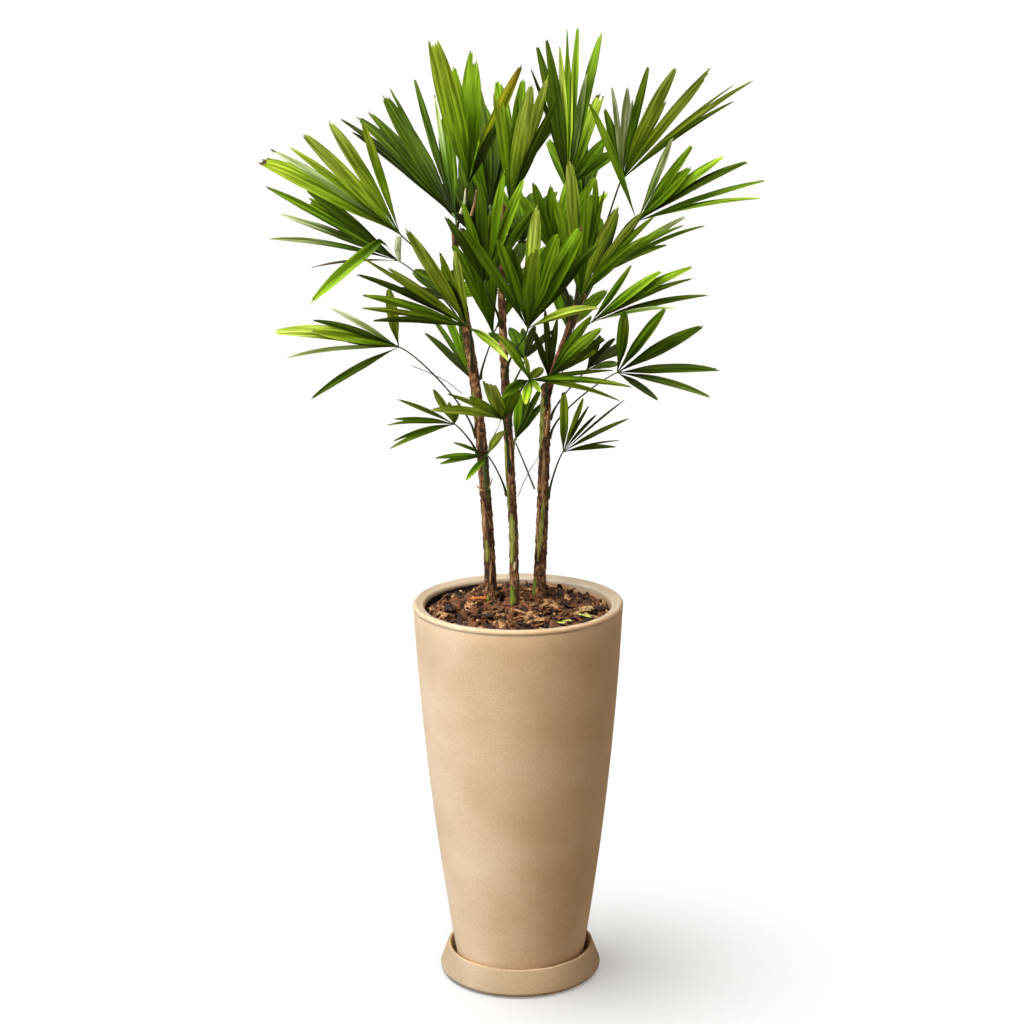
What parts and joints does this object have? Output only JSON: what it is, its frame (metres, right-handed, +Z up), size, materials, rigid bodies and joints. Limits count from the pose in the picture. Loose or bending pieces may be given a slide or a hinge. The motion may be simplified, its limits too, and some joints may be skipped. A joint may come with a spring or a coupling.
{
  "type": "lady palm in a tall planter",
  "caption": "Potted lady palm: three slender fibrous canes with fan-shaped fronds, in a tall tapered round planter on a saucer.",
  "frame": {"origin": "middle of the flat underside of the saucer, on the floor", "axes": "+Z up along the planter's axis; +X to the right and +Y to the back, as the plant is seen with its right cane bending to the right"},
  "size_m": [0.7746, 0.743, 1.5503],
  "materials": {
    "saucer": "matte",
    "pot": "matte",
    "mulch": "matte",
    "cane": "matte",
    "frond": "satin"
  },
  "bodies": {
    "root": {"saucer": "saucer", "pot": "pot", "mulch": "mulch", "cane_left": "cane", "cane_middle": "cane", "cane_right": "cane", "frond_left_1": "frond", "frond_left_2": "frond", "frond_left_3": "frond", "frond_left_4": "frond", "frond_left_5": "frond", "frond_left_6": "frond", "frond_left_7": "frond", "frond_left_8": "frond", "frond_left_9": "frond", "frond_left_10": "frond", "frond_left_11": "frond", "frond_middle_1": "frond", "frond_middle_2": "frond", "frond_middle_3": "frond", "frond_middle_4": "frond", "frond_middle_5": "frond", "frond_middle_6": "frond", "frond_middle_7": "frond", "frond_middle_8": "frond", "frond_middle_9": "frond", "frond_middle_10": "frond", "frond_middle_11": "frond", "frond_middle_12": "frond", "frond_right_1": "frond", "frond_right_2": "frond", "frond_right_3": "frond", "frond_right_4": "frond", "frond_right_5": "frond", "frond_right_6": "frond", "frond_right_7": "frond", "frond_right_8": "frond", "frond_right_9": "frond", "frond_right_10": "frond", "frond_right_11": "frond", "frond_right_12": "frond", "frond_right_13": "frond", "frond_right_14": "frond"}
  },
  "joints": []
}
